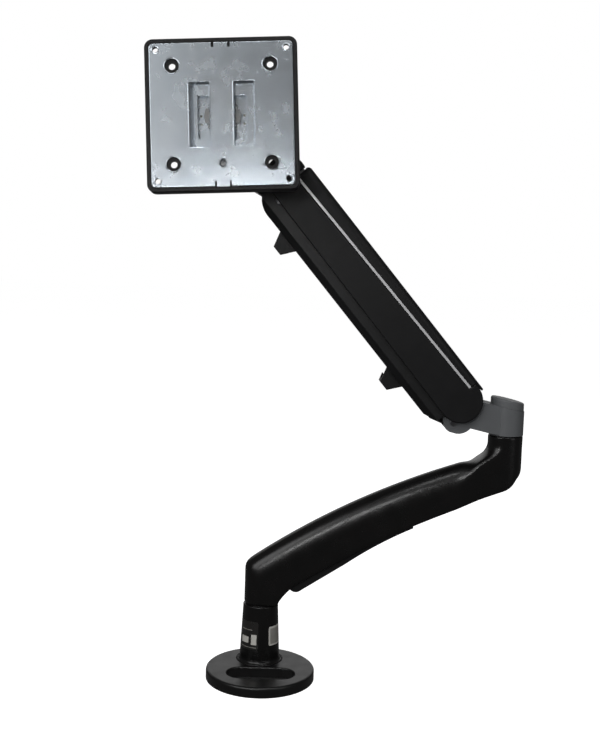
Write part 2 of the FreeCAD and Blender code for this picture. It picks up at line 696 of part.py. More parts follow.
def pan_shaft():
    shaft = cyl(PAN_SHAFT_R, V(0, 0, PAN_BOTTOM - 1.2), Z, PAN_TOP + 6.0 - PAN_BOTTOM + 1.2)
    tapped = cyl(2.1, V(0, 0, PAN_BOTTOM - 2), Z, 14.0)
    return on_pan(shaft.cut(tapped))


def pan_washer():
    return on_pan(tube(9.0, 2.2, V(0, 0, PAN_BOTTOM - 2.7), Z, 1.5))


def pan_screw():
    head = cyl(4.0, V(0, 0, PAN_BOTTOM - 5.5), Z, 2.8)
    shank = cyl(2.1, V(0, 0, PAN_BOTTOM - 4.0), Z, 14.0)
    drive = cyl(1.6, V(0, 0, PAN_BOTTOM - 6.5), Z, 2.6)
    return on_pan(fuse([head, shank]).cut(drive))


def tilt_bolt():
    shank = cyl(TILT_BOLT_R, V(-21.0, -TILT_REACH, TILT_Z), X, 46.5)
    head = cyl(6.5, V(-25.0, -TILT_REACH, TILT_Z), X, 4.0)
    drive = cyl(2.6, V(-26.0, -TILT_REACH, TILT_Z), X, 3.6)
    return on_pan(fuse([shank, head]).cut(drive))


def hexagon(across, x0, x1, centre):
    r = across / math.sqrt(3)
    ring = [V(x0, centre.y + r * math.cos(math.radians(a)), centre.z + r * math.sin(math.radians(a)))
            for a in range(0, 361, 60)]
    return Part.Face(Part.makePolygon(ring)).extrude(V(x1 - x0, 0, 0))


def tilt_nut():
    centre = V(0, -TILT_REACH, TILT_Z)
    nut = hexagon(13.0, 21.0, 27.5, centre)
    return on_pan(nut.cut(cyl(TILT_BOLT_R, centre + X * 20, X, 10)))


# ---- head: tilt block ----------------------------------------------------------------------

def tilt_block():
    barrel = cyl(10.0, V(-13.6, 0, 0), X, 27.2)
    neck = box(-12.0, 12.0, -27.0, 0, -9.0, 9.0)
    flange = cyl(23.0, V(0, -26.0, 0), -Y, 4.0)
    spigot = cyl(9.0, V(0, -29.0, 0), -Y, 8.5)
    body = fuse([barrel, neck, flange, spigot])
    return on_tilt(solid_of(body.cut(cyl(TILT_BOLT_R + RUNNING, V(-40, 0, 0), X, 80.0))))


def tilt_washers():
    return [on_tilt(tube(9.6, TILT_BOLT_R + 0.2, V(x, 0, 0), X, 0.6)) for x in (-14.2, 13.6)]


def rotation_washer():
    return on_tilt(tube(22.0, 9.0, V(0, -30.0, 0), -Y, 0.5))


def rotation_nut():
    ring = tube(14.0, 9.0, V(0, -33.6, 0), -Y, 3.4)
    notches = []
    for a in range(0, 360, 60):
        turn = FreeCAD.Placement(V(0, 0, 0), FreeCAD.Rotation(Y, a))
        notch = box(-1.4, 1.4, -40.0, -30.0, 12.4, 16.0)
        notch.Placement = turn
        notches.append(notch)
    return on_tilt(ring.cut(fuse(notches)))


# ---- head: rotating plate ------------------------------------------------------------------

def square_points(half):
    return [(sx * half, sz * half) for sx in (-1, 1) for sz in (-1, 1)]


def rotor_plate():
    """The sheet that turns on the spigot, bent forward at its sides to carry the front sheet."""
    sheet = box(-20.4, 20.4, -33.3, -30.8, -18.2, 18.2)
    sides = [box(x0, x1, -37.9, -30.8, -18.2, 18.2) for x0, x1 in ((-20.4, -18.9), (18.9, 20.4))]
    rotor = fuse([sheet] + sides)
    cuts = [cyl(9.0 + RUNNING, V(0, -29, 0), -Y, 10.0)]
    cuts += [cyl(0.9, V(x, -29, z), -Y, 10.0) for x in (-16.6, 16.6) for z in (1.0, -5.5)]
    return on_plate(solid_of(rotor.cut(fuse(cuts))))


def carrier_plate():
    """The front sheet of the quick-release carrier, with its window."""
    sheet = rounded_rectangle(68.0, 60.0, 3.0, -39.4, -37.9)
    window = box(-18.9, 18.9, -45, -35, -18.2, 15.4)
    holes = [cyl(CARRIER_SCREW_R, V(x, -35, z), -Y, 10.0) for x, z in carrier_screw_places()]
    return on_plate(solid_of(sheet.cut(fuse([window] + holes))))


def plate_tray():
    """The black moulded tray that frames the steel plate."""
    tray = rounded_rectangle(TRAY_SIDE, TRAY_SIDE, 6.5, -43.2, -33.0)
    tray = tray.makeFillet(1.0, edges_where(tray, lambda e: e.BoundBox.YMax < -43.19))
    recess = rounded_rectangle(PLATE_SIDE + 0.4, PLATE_SIDE + 0.4, 3.6, -50.0, -FACE + PLATE_T)
    back = rounded_rectangle(TRAY_SIDE - 5.0, TRAY_SIDE - 5.0, 4.2, -39.4, -20.0)
    middle = box(-26.0, 26.0, -45.0, -35.0, -26.5, 26.5)
    cuts = [recess, back, middle, cyl(1.9, V(0, -30, -VESA_INNER), -Y, 20.0)]
    cuts += [cyl(CARRIER_SCREW_R, V(x, -35, z), -Y, 6.2) for x, z in carrier_screw_places()]
    cuts += [cyl(2.6, V(x, -30, z), -Y, 20.0) for x, z in square_points(VESA_INNER)]
    cuts += [cyl(2.3, V(x, -30, z), -Y, 20.0) for x, z in square_points(VESA_OUTER)]
    return on_plate(solid_of(tray.cut(fuse(cuts))))


def rear_cover():
    """Closes the tray's back round the rotation flange."""
    cover = rounded_rectangle(TRAY_SIDE - 5.4, TRAY_SIDE - 5.4, 4.0, -35.6, -33.0)
    cuts = [cyl(28.5, V(0, -30, 0), -Y, 10.0)]
    cuts += [cyl(5.2, V(x, -30, z), -Y, 10.0) for x, z in square_points(VESA_INNER)]
    cuts += [cyl(4.2, V(x, -30, z), -Y, 10.0) for x, z in square_points(VESA_OUTER)]
    return on_plate(solid_of(cover.cut(fuse(cuts))))


def vesa_plate():
    """The pressed steel plate: raised lips round the large holes and the two hook slots."""
    front, back = -FACE, -FACE + PLATE_T
    plate = rounded_rectangle(PLATE_SIDE, PLATE_SIDE, 3.4, front, back)
    plate = plate.makeFillet(0.7, edges_where(plate, lambda e: e.BoundBox.YMax < front + 0.01))
    cuts = [cyl(5.6, V(x, -30, z), -Y, 20.0) for x, z in square_points(VESA_INNER)]
    cuts += [cyl(2.3, V(x, -30, z), -Y, 20.0) for x, z in square_points(VESA_OUTER)]
    cuts += [box(x - 8.2, x + 8.2, -50, -30, -25.0, 25.0) for x in (-17.1, 17.1)]
    cuts += [box(x - 1.0, x + 1.0, -50, -30, 51.0, 60.0) for x in (-6.2, 6.2)]
    cuts += [box(x - 0.7, x + 0.7, -50, -30, -60.0, -50.6) for x in (-5.7, 5.7)]
    cuts.append(box(-5.2, 5.2, -50, front + 0.9, -60.0, -50.6))
    cuts.append(cyl(2.2, V(0, -30, -VESA_INNER), -Y, 20.0))
    cuts.append(Part.makeCone(3.5, 2.2, 1.0, V(0, front, -VESA_INNER), Y))
    return on_plate(solid_of(plate.cut(fuse(cuts))))


def carrier_screw_places():
    return [(x, z) for x in (-30.0, 30.0) for z in (-20.0, 20.0)]


def carrier_screws():
    """Driven from behind, through the carrier sheet into the tray's floor."""
    screws = []
    for x, z in carrier_screw_places():
        shank = cyl(CARRIER_SCREW_R, V(x, -41.2, z), Y, 4.0)
        head = cyl(3.2, V(x, -37.9, z), Y, 2.0)
        screws.append(on_plate(fuse([shank, head])))
    return screws


def lock_screw():
    """Holds the steel plate in its tray, below the slots, with its nut behind."""
    shank = cyl(1.9, V(0, -42.6, -VESA_INNER), Y, 7.0)
    nut = cyl(3.2, V(0, -39.4, -VESA_INNER), Y, 2.6)
    drive = cyl(1.2, V(0, -43.0, -VESA_INNER), Y, 1.6)
    return on_plate(fuse([shank, nut]).cut(drive))


# ---- the whole -----------------------------------------------------------------------------

def nodes():
    parts = {
        "base_plate": base_plate(),
        "base_pad": base_pad(),
        "base_post": base_post(),
        "post_screws": post_screws(),
        "post_bushes": [bush(0, BASE_SHAFT_R, POST_BORE_R, z, BUSH_LENGTH)
                        for z in (DISC_TOP + 10.0, POST_TOP - BUSH_LENGTH)],
        "post_grub_screw": grub_screw(V(0, BASE_SHAFT_R - 1.0, 40), Y, 8.0, 2.1),
        "base_thrust_washer": tube(13.4, BASE_SHAFT_R + 0.2, V(0, 0, POST_TOP), Z, 0.3),
        "lower_arm_casting": lower_arm_casting(),
        "base_shaft": swivel_shaft(0, BASE_SHAFT_R, DISC_TOP + 8.4, 92.0, 40),
        "shaft_grub_screw": grub_screw(V(0, BASE_SHAFT_R, 76), Y, 6.0, 2.1),
        "cable_cover": cable_cover(),
        "cable_cover_screws": cover_screws(),
        "elbow_bushes": [bush(ELBOW_X, ELBOW_SHAFT_R, ELBOW_BORE_R, z, BUSH_LENGTH - 1)
                         for z in (ELBOW_BORE_BOTTOM, ELBOW_POST_TOP - BUSH_LENGTH + 1)],
        "elbow_thrust_washer": tube(12.8, ELBOW_SHAFT_R + 0.2, V(ELBOW_X, 0, ELBOW_POST_TOP), Z, 0.3),
        "elbow_grub_screw": grub_screw(V(ELBOW_X, ELBOW_SHAFT_R - 1.0, 199), Y, 8.0, 2.1),
        "elbow_bracket": elbow_bracket(),
        "elbow_cap": elbow_cap(),
        "elbow_shaft": swivel_shaft(ELBOW_X, ELBOW_SHAFT_R, ELBOW_BORE_BOTTOM + 0.4, 234.0, 199),
        "lift_pin": stub_pins(A, LIFT_PIN_R, PIN_INNER, COVER_INNER - 0.1),
        "level_pin_lower": stub_pins(C, LEVEL_PIN_R, PIN_INNER, BRACKET_HALF + 0.6),
        "spring_anchor_pin": cross_pin(spring_anchor(), ANCHOR_R, BRACKET_HALF),
        "arm_beam": arm_beam(),
        "beam_bushes": beam_bushes(),
        "side_cover_near": side_cover(1),
        "side_cover_far": side_cover(-1),
        "side_cover_screws": side_cover_screws(),
        "trim_strips": trim_strips(),
        "top_cover": top_cover(),
        "gas_cylinder": gas_cylinder(),
        "gas_gland": gas_gland(),
        "spring_pin": on_arm(cross_pin(V(SPRING_FAR_U, 0, SPRING_FAR_V), LEVEL_PIN_R, COVER_INNER - 0.1)),
        "gas_rod": gas_rod(),
        "rod_eye": rod_eye(),
        "lower_link": lower_link(),
        "cable_clip_upper": cable_clip(194.5),
        "cable_clip_lower": cable_clip(49.5),
        "head_bracket": head_bracket(),
        "head_pin": cross_pin(B, LIFT_PIN_R, COVER_INNER - 0.1),
        "level_pin_upper": cross_pin(D, LEVEL_PIN_R, BRACKET_HALF + 0.6),
        "pan_bushes": [tube(PAN_SHAFT_R + 2.0, PAN_SHAFT_R + RUNNING, V(PAN_X, 0, z), Z, PAN_BUSH)
                       for z in (PAN_BOTTOM, PAN_TOP - PAN_BUSH)],
        "swivel_yoke": swivel_yoke(),
        "pan_shaft": pan_shaft(),
        "pan_washer": pan_washer(),
        "pan_screw": pan_screw(),
        "tilt_bolt": tilt_bolt(),
        "tilt_nut": tilt_nut(),
        "tilt_block": tilt_block(),
        "tilt_washers": tilt_washers(),
        "rotation_washer": rotation_washer(),
        "rotation_nut": rotation_nut(),
        "rotor_plate": rotor_plate(),
        "carrier_plate": carrier_plate(),
        "carrier_screws": carrier_screws(),
        "plate_tray": plate_tray(),
        "rear_cover": rear_cover(),
        "vesa_plate": vesa_plate(),
        "lock_screw": lock_screw(),
    }
    return parts


os.makedirs("parts", exist_ok=True)
for name, made in nodes().items():
    group = Part.makeCompound(made) if isinstance(made, list) else made
    group.translate(V(0, 0, -GROUND))
    group.exportStep("parts/" + name + ".step")
    if not group.isValid():
        print("not valid:", name)
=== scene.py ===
import json
import math

import bmesh
import bpy
import numpy as np
from mathutils import Matrix, Quaternion, Vector

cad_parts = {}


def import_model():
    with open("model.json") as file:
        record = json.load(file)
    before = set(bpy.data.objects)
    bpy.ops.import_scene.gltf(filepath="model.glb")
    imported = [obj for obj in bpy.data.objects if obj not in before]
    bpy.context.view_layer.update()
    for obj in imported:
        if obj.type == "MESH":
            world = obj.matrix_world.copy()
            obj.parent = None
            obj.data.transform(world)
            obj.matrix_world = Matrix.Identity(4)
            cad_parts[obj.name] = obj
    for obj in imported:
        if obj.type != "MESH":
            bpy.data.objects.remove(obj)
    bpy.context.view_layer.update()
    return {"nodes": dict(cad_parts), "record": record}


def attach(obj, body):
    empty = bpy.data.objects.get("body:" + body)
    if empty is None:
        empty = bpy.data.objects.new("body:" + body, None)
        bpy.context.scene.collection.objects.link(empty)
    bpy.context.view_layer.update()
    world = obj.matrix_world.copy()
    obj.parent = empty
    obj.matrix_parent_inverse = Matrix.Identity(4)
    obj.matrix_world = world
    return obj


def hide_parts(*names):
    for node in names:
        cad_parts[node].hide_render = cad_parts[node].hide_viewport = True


# Shapes are written in millimetres, and lights and the camera in metres.
MM = 0.001
GROUND = 3.3            # written heights are counted from this far under the base's underside

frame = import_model()
NODES = frame["nodes"]


# ---- materials ---------------------------------------------------------------------------------

def linear(srgb):
    """An sRGB triple of 0..255 as a linear colour with alpha."""
    made = []
    for c in srgb:
        c /= 255.0
        made.append(c / 12.92 if c <= 0.04045 else ((c + 0.055) / 1.055) ** 2.4)
    return made + [1.0]


class Graph:
    """A small wrapper that adds and links nodes of one material."""

    def __init__(self, name):
        self.material = bpy.data.materials.new(name)
        self.material.use_nodes = True
        self.tree = self.material.node_tree
        self.shader = self.tree.nodes["Principled BSDF"]
        self.coords = self.add("ShaderNodeTexCoord").outputs["Object"]

    def add(self, kind, inputs=(), **settings):
        node = self.tree.nodes.new(kind)
        for key, value in settings.items():
            setattr(node, key, value)
        for key, value in dict(inputs).items():
            if isinstance(value, bpy.types.NodeSocket):
                self.tree.links.new(value, node.inputs[key])
            else:
                node.inputs[key].default_value = value
        return node

    def link(self, source, socket):
        self.tree.links.new(source, self.shader.inputs[socket])

    def noise(self, scale, detail=3.0):
        return self.add("ShaderNodeTexNoise", {"Vector": self.coords, "Scale": scale,
                                               "Detail": detail}).outputs["Fac"]

    def between(self, fac, low, high):
        """fac's middle range spread from low to high."""
        return self.add("ShaderNodeMapRange", {"Value": fac, "From Min": 0.35, "From Max": 0.65,
                                               "To Min": low, "To Max": high}).outputs[0]

    def mix(self, fac, a, b):
        node = self.add("ShaderNodeMix", data_type="RGBA")
        for socket, value in zip((node.inputs[0], node.inputs[6], node.inputs[7]), (fac, a, b)):
            if isinstance(value, bpy.types.NodeSocket):
                self.tree.links.new(value, socket)
            else:
                socket.default_value = value
        return node.outputs[2]

    def edges(self, radius, gain):
        """1 on convex and concave edges, 0 on flats, from how much a bevel would turn the normal."""
        soft = self.add("ShaderNodeBevel", {"Radius": radius}, samples=4).outputs[0]
        true = self.add("ShaderNodeNewGeometry").outputs["Normal"]
        same = self.add("ShaderNodeVectorMath", {0: soft, 1: true}, operation="DOT_PRODUCT")
        turned = self.add("ShaderNodeMath", {0: 1.0, 1: same.outputs["Value"]}, operation="SUBTRACT")
        return self.add("ShaderNodeMath", {0: turned.outputs[0], 1: gain}, operation="MULTIPLY",
                        use_clamp=True).outputs[0]


def finish(name, colour, other, rough, rough_spread, grain, depth, metallic=0.0, specular=0.5,
           coat=0.0, coat_rough=0.1, wear_and_highlight=None, wear_and_highlight_gain=3.0, round_edge=0.5, patch=45.0):
    """A surface with two-tone patches, uneven gloss, a fine grain, rounded edges, and edges lightened both
    as worn paint and as a painted edge highlight.
    """
    g = Graph(name)
    s = g.shader
    s.inputs["Metallic"].default_value = metallic
    s.inputs["Specular IOR Level"].default_value = specular
    s.inputs["Coat Weight"].default_value = coat
    s.inputs["Coat Roughness"].default_value = coat_rough
    tone = g.between(g.noise(patch), 0.0, 1.0)
    body = g.mix(tone, linear(colour), linear(other))
    if wear_and_highlight:
        # edge colour: patchy worn paint, and also a painted highlight along every edge
        spots = g.between(g.noise(420.0, 5.0), 0.25, 1.0)
        edge = g.add("ShaderNodeMath", {0: g.edges(round_edge * MM, wear_and_highlight_gain), 1: spots},
                     operation="MULTIPLY", use_clamp=True).outputs[0]
        body = g.mix(edge, body, linear(wear_and_highlight))
    g.link(body, "Base Color")
    smear = g.between(g.noise(95.0, 6.0), rough - rough_spread, rough + rough_spread)
    g.link(smear, "Roughness")
    soft = g.add("ShaderNodeBevel", {"Radius": round_edge * MM}, samples=4).outputs[0]
    bump = g.add("ShaderNodeBump", {"Height": g.noise(grain, 2.0), "Strength": 0.6,
                                    "Distance": depth * MM, "Normal": soft})
    g.link(bump.outputs[0], "Normal")
    return g.material


# wear_and_highlight is the colour edges are lightened to: worn paint, and a painted edge highlight in one
FINISHES = {
    "black_paint": finish("satin_black_paint", (14, 14, 14), (17, 16, 16), 0.25, 0.03, 1400.0, 0.008,
                          specular=0.36, wear_and_highlight=(34, 33, 32), wear_and_highlight_gain=1.0, round_edge=0.8),
    "base_black": finish("base_black_paint", (12, 11, 11), (15, 15, 15), 0.32, 0.04, 1700.0, 0.008,
                         specular=0.5, wear_and_highlight=(38, 37, 36), wear_and_highlight_gain=1.0, round_edge=0.9),
    "black_plastic": finish("moulded_black_plastic", (17, 17, 18), (19, 19, 20), 0.48, 0.03, 2300.0, 0.015,
                            specular=0.26),
    "link_black": finish("powder_black", (17, 17, 18), (20, 20, 21), 0.46, 0.04, 1600.0, 0.015,
                         specular=0.36),
    "grey_paint": finish("grey_powder_paint", (94, 96, 98), (98, 100, 102), 0.46, 0.04, 1500.0, 0.015,
                         specular=0.35, wear_and_highlight=(104, 104, 102), wear_and_highlight_gain=0.7, round_edge=0.8),
    "beam_metal": finish("raw_casting", (120, 120, 122), (146, 146, 148), 0.5, 0.1, 900.0, 0.05,
                         metallic=1.0),
    "bright_trim": finish("bright_trim_strip", (216, 216, 218), (220, 220, 222), 0.30, 0.03, 2200.0, 0.002,
                          metallic=0.3),
    # the zinc plate's pale rims are a painted highlight along its edges
    "zinc_steel": finish("zinc_plated_steel", (186, 194, 201), (190, 196, 202), 0.26, 0.02, 2600.0, 0.003,
                         metallic=1.0, wear_and_highlight=(232, 235, 238), wear_and_highlight_gain=1.4, round_edge=0.4, patch=14.0),
    "pin_steel": finish("ground_steel", (96, 96, 98), (108, 108, 110), 0.34, 0.05, 1800.0, 0.01,
                        metallic=1.0),
    "fastener_steel": finish("plated_screw_steel", (112, 114, 115), (124, 124, 123), 0.34, 0.05, 1500.0,
                             0.01, metallic=1.0, wear_and_highlight=(150, 150, 148), wear_and_highlight_gain=1.2),
    "cylinder_black": finish("spring_tube_paint", (20, 20, 21), (24, 24, 25), 0.30, 0.04, 1300.0, 0.01,
                             coat=0.3),
    "nylon": finish("natural_nylon", (222, 218, 204), (232, 229, 218), 0.5, 0.06, 1100.0, 0.02),
    "foam": finish("foam_pad", (38, 38, 38), (46, 46, 46), 0.85, 0.05, 700.0, 0.25),
}
LABEL_DARK = finish("label_dark_film", (30, 29, 28), (34, 33, 32), 0.3, 0.04, 1200.0, 0.004, coat=0.3)
LABEL_PALE = finish("label_pale_film", (196, 194, 188), (208, 206, 200), 0.42, 0.04, 1500.0, 0.004)
LABEL_GREY = finish("label_grey_film", (138, 136, 131), (158, 156, 150), 0.42, 0.04, 1500.0, 0.004)

for row in frame["record"]["subparts"]:
    surface = NODES[row["node"]]
    surface.data.materials.clear()
    surface.data.materials.append(FINISHES[row["material_slot"]])

for name in ("base_thrust_washer", "elbow_thrust_washer"):
    NODES[name].data.materials[0] = FINISHES["cylinder_black"]


# ---- mesh helpers ------------------------------------------------------------------------------

def piece(name, mesh, material, body):
    """A smooth-shaded object that rides on a body."""
    made = bpy.data.objects.new(name, mesh)
    bpy.context.scene.collection.objects.link(made)
    mesh.materials.clear()
    mesh.materials.append(material)
    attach(made, body)
    return made


def mesh_of(bm, name, sharp=math.radians(38)):
    bmesh.ops.recalc_face_normals(bm, faces=bm.faces)
    for face in bm.faces:
        face.smooth = True
    for edge in bm.edges:
        edge.smooth = len(edge.link_faces) == 2 and edge.calc_face_angle(0.0) < sharp
    mesh = bpy.data.meshes.new(name)
    bm.to_mesh(mesh)
    bm.free()
    return mesh


def rings_mesh(name, rings, closed_path=True):
    """Faces between equal closed rings of points. An open path of rings is capped at both ends."""
    bm = bmesh.new()
    made = [[bm.verts.new(p) for p in ring] for ring in rings]
    size = len(rings[0])
    for k in range(len(made) if closed_path else len(made) - 1):
        here, there = made[k], made[(k + 1) % len(made)]
        for i in range(size):
            j = (i + 1) % size
            bm.faces.new((here[i], here[j], there[j], there[i]))
    if not closed_path:
        bm.faces.new(made[0])
        bm.faces.new(made[-1][::-1])
    return mesh_of(bm, name)


PAN_X = -36.4           # the head's upright swivel axis
TILT_REACH = 33.5       # from the swivel axis out to the tilt axis
TILT_Z = 464.7
PAN_TURN = -0.5         # degrees
TILT_TURN = -5.2
ROTATION_TURN = -3.0


def head_matrix():
    """From the mounting plate's own frame, in which -Y points out of the plate, to the scene."""
    pan = Matrix.Rotation(math.radians(PAN_TURN), 4, "Z")
    tilt = Matrix.Rotation(math.radians(TILT_TURN), 4, "X")
    turn = Matrix.Rotation(math.radians(ROTATION_TURN), 4, "Y")
    place = Matrix.Translation((PAN_X * MM, 0, 0)) @ pan
    place = place @ Matrix.Translation((0, -TILT_REACH * MM, (TILT_Z - GROUND) * MM))
    return place @ tilt @ turn


PLATE = head_matrix()


def on_plate(x, y, z):
    return PLATE @ Vector((x * MM, y * MM, z * MM))


COLLAR_STEPS = 64


def collar(name, x, z, section):
    """A turned ring about an axis square to the plate. section holds (radius, depth) points."""
    rings = []
    for k in range(COLLAR_STEPS):
        a = math.tau * k / COLLAR_STEPS
        rings.append([on_plate(x + r * math.cos(a), y, z + r * math.sin(a)) for r, y in section])
    piece(name, rings_mesh(name, rings), FINISHES["zinc_steel"], "plate")


def rounded_path(half_w, half_h, radius, steps=6):
    """Points and outward directions round a rectangle with round corners."""
    path = []
    for quarter, (sx, sz) in enumerate(((1, 1), (-1, 1), (-1, -1), (1, -1))):
        for k in range(steps + 1):
            a = math.radians(90 * quarter + 90 * k / steps)
            out = (math.cos(a), math.sin(a))
            path.append((sx * (half_w - radius) + radius * out[0],
                         sz * (half_h - radius) + radius * out[1], out))
    return path


def formed_lip(name, x, z, half_w, half_h, radius, section):
    """A pressed lip round a slot. section holds (outward, depth) points from the slot's edge."""
    rings = []
    for px, pz, (ox, oz) in rounded_path(half_w, half_h, radius):
        rings.append([on_plate(x + px + out * ox, y, z + pz + out * oz) for out, y in section])
    piece(name, rings_mesh(name, rings), FINISHES["zinc_steel"], "plate")


# ---- lower arm: the casting with its wide, smooth shoulders --------------------------------------

TOP_LINE_X = (-15.0, -9.0, 20.0, 59.0, 105.0, 165.0, 183.0)
TOP_LINE_Z = (99.0, 103.0, 121.5, 144.0, 166.0, 189.0, 195.0)
ARM_HALF_WIDTH = 14.6
ARCH_DROP = 17.0        # how far the arch falls from the middle to the sides
ARCH_DEPTH = 46.0       # how deep below the top line it dies away
ARCH_END = 162.0        # where along the arm it begins to fade
ARCH_FADE = 26.0
BACK_PULL = 11.0        # how far the sides of the elbow post's back come forward
BACK_X = 185.0          # the elbow post begins here
BACK_START = 190.0      # height at which the rounding begins, and its fade
BACK_FADE = 18.0
BACK_FRONT = 193.0      # the rounding dies away in front of this
BACK_FRONT_FADE = 13.0
VOXEL = 0.95
FOOT_SEAM = 66.0        # the hub's foot stays sharp up to here
FOOT_FADE = 16.0
POST_SEAM = 213.5       # and so does the elbow post's rim
POST_FADE = 9.0
MASK_PASSES = 6
FIRST_PASSES = 3
RELAX_PASSES = 26
MASK_PULL = 0.6         # how far a pass takes a point towards its neighbours
FIRST_PULL = 0.5
RELAX_PULL = 0.6
UNDERSIDE = 0.06        # the share of relaxing that faces turned down still get
UP_START = -0.35        # upward part of a normal at which relaxing sets in, and its spread
UP_SPREAD = 0.5
CREASE = 50             # degrees


def smoothed(points, edges, weights, passes):
    """Laplacian smoothing of a whole mesh, each point by its own weight."""
    a, b = edges[:, 0], edges[:, 1]
    n = len(points)
    degree = np.bincount(a, minlength=n) + np.bincount(b, minlength=n)
    for _ in range(passes):
        total = np.empty_like(points)
        for axis in range(3):
            total[:, axis] = (np.bincount(a, points[b, axis], n) + np.bincount(b, points[a, axis], n))
        points = points + weights[:, None] * (total / degree[:, None] - points)
    return points


def smooth_step(value):
    t = np.clip(value, 0.0, 1.0)
    return t * t * (3.0 - 2.0 * t)


def arched(points):
    """Bends the arm's flat top into an arch from side to side, and the elbow post's flat back round."""
    x, y, z = points[:, 0] / MM, points[:, 1] / MM, points[:, 2] / MM + GROUND
    top = np.interp(x, TOP_LINE_X, TOP_LINE_Z)
    across = 1.0 - np.sqrt(np.clip(1.0 - (y / ARM_HALF_WIDTH) ** 2, 0.0, 1.0))
    near_top = 1.0 - smooth_step((top - z) / ARCH_DEPTH)
    along = 1.0 - smooth_step((x - ARCH_END) / ARCH_FADE)
    behind = 1.0 - smooth_step((x - BACK_FRONT) / BACK_FRONT_FADE)
    post = smooth_step((z - BACK_START) / BACK_FADE) * behind
    bent = points.copy()
    bent[:, 2] -= ARCH_DROP * MM * across * near_top * along
    bent[:, 0] += BACK_PULL * MM * across * post * (x > BACK_X)
    return bent


def remeshed(source):
    """A copy of an object's mesh, made again from even voxels."""
    work = bpy.data.objects.new("lower_arm_work", source.data.copy())
    bpy.context.scene.collection.objects.link(work)
    remesh = work.modifiers.new("even", "REMESH")
    remesh.mode = "VOXEL"
    remesh.voxel_size = VOXEL * MM
    graph = bpy.context.evaluated_depsgraph_get()
    mesh = bpy.data.meshes.new_from_object(work.evaluated_get(graph))
    bpy.data.objects.remove(work)
    return mesh


def read(collection, attribute, width, kind=float):
    """One attribute of every element of a mesh, as rows."""
    values = np.empty(len(collection) * width, kind)
    collection.foreach_get(attribute, values)
    return values.reshape(-1, width)


def freedom(points):
    """How far each point may be relaxed: not at the hub's foot, nor at the elbow post's rim."""
    x, z = points[:, 0] / MM, points[:, 2] / MM + GROUND
    foot = np.clip((z - FOOT_SEAM) / FOOT_FADE, 0.0, 1.0)
    post = np.where(x > BACK_X, np.clip((POST_SEAM - z) / POST_FADE, 0.0, 1.0), 1.0)
    return foot * post


def lower_arm():
    """The casting remeshed evenly and bent, then relaxed: much on the upper side, little below."""
    mesh = remeshed(NODES["lower_arm_casting"])
    points = read(mesh.vertices, "co", 3)
    normals = read(mesh.vertices, "normal", 3)
    edges = read(mesh.edges, "vertices", 2, int)
    upper = np.clip((normals[:, 2] - UP_START) / UP_SPREAD, UNDERSIDE, 1.0)
    ends = freedom(points)
    mask = np.repeat((upper * ends)[:, None], 3, 1)
    spread = smoothed(mask, edges, np.full(len(points), MASK_PULL), MASK_PASSES)[:, 0]
    eased = smoothed(arched(points), edges, ends * FIRST_PULL, FIRST_PASSES)
    final = smoothed(eased, edges, np.clip(spread, 0.0, 1.0) * RELAX_PULL, RELAX_PASSES)
    mesh.vertices.foreach_set("co", final.ravel())
    mesh.update()
    mesh.shade_smooth()
    mesh.set_sharp_from_angle(angle=math.radians(CREASE))
    made = piece("lower_arm_shell", mesh, FINISHES["black_paint"], "lower_arm")
    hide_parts("lower_arm_casting")


lower_arm()


# ---- mounting plate: pressed detail --------------------------------------------------------------

FRONT = -44.0           # the steel plate's face, in the plate's own frame
BIG_PITCH = 37.5        # from the plate's middle to the inner and to the outer row of holes
CORNER_PITCH = 50.0
SLOT_X = 17.1
SLOT_HALF = (8.2, 25.0)
SLOT_CORNER = 1.2
LEDGE_HALF = 24.4
LEDGE_RINGS = 9
BIG_HOLE = [(5.5, FRONT - 0.1), (5.75, FRONT - 0.35), (6.15, FRONT - 0.3), (6.6, FRONT + 0.05),
            (6.4, FRONT + 0.3), (5.65, FRONT + 0.6), (5.35, FRONT + 2.2), (5.2, FRONT + 2.2),
            (5.3, FRONT + 0.3)]
SMALL_HOLE = [(2.25, FRONT - 0.02), (2.5, FRONT - 0.16), (3.0, FRONT - 0.08), (3.3, FRONT + 0.1),
              (2.5, FRONT + 0.3), (2.2, FRONT + 1.4), (2.1, FRONT + 1.4)]
DIMPLE = [(2.15, FRONT + 0.9), (2.6, FRONT + 0.5), (3.3, FRONT - 0.02), (3.6, FRONT - 0.12),
          (3.9, FRONT + 0.05), (3.3, FRONT + 0.6), (2.2, FRONT + 1.4)]
SLOT_LIP = [(-0.9, FRONT + 2.6), (-0.55, FRONT + 0.2), (-0.15, FRONT - 0.3), (0.2, FRONT - 0.35),
            (0.6, FRONT - 0.15), (0.9, FRONT + 0.1), (0.6, FRONT + 0.6), (-0.2, FRONT + 2.6)]

for i, sx in enumerate((-1, 1)):
    for j, sz in enumerate((-1, 1)):
        collar(f"hole_collar_{i}{j}", sx * BIG_PITCH, sz * BIG_PITCH, BIG_HOLE)
        collar(f"corner_rim_{i}{j}", sx * CORNER_PITCH, sz * CORNER_PITCH, SMALL_HOLE)
collar("screw_dimple", 0.0, -BIG_PITCH, DIMPLE)
for i, sx in enumerate((-1, 1)):
    formed_lip(f"slot_lip_{i}", sx * SLOT_X, 0.0, *SLOT_HALF, SLOT_CORNER, SLOT_LIP)


def bevelled_ledge():
    """The sloping outer side of the left slot, pressed back into it."""
    section = [(-25.2, FRONT - 0.1), (-24.0, FRONT + 0.6), (-21.6, FRONT + 4.2), (-21.0, FRONT + 4.4),
               (-21.2, FRONT + 5.0), (-22.2, FRONT + 4.8), (-25.2, FRONT + 1.0)]
    heights = np.linspace(-LEDGE_HALF, LEDGE_HALF, LEDGE_RINGS)
    rings = [[on_plate(x, y, z) for x, y in section] for z in heights]
    mesh = rings_mesh("slot_ledge", rings, closed_path=False)
    piece("slot_ledge", mesh, FINISHES["zinc_steel"], "plate")


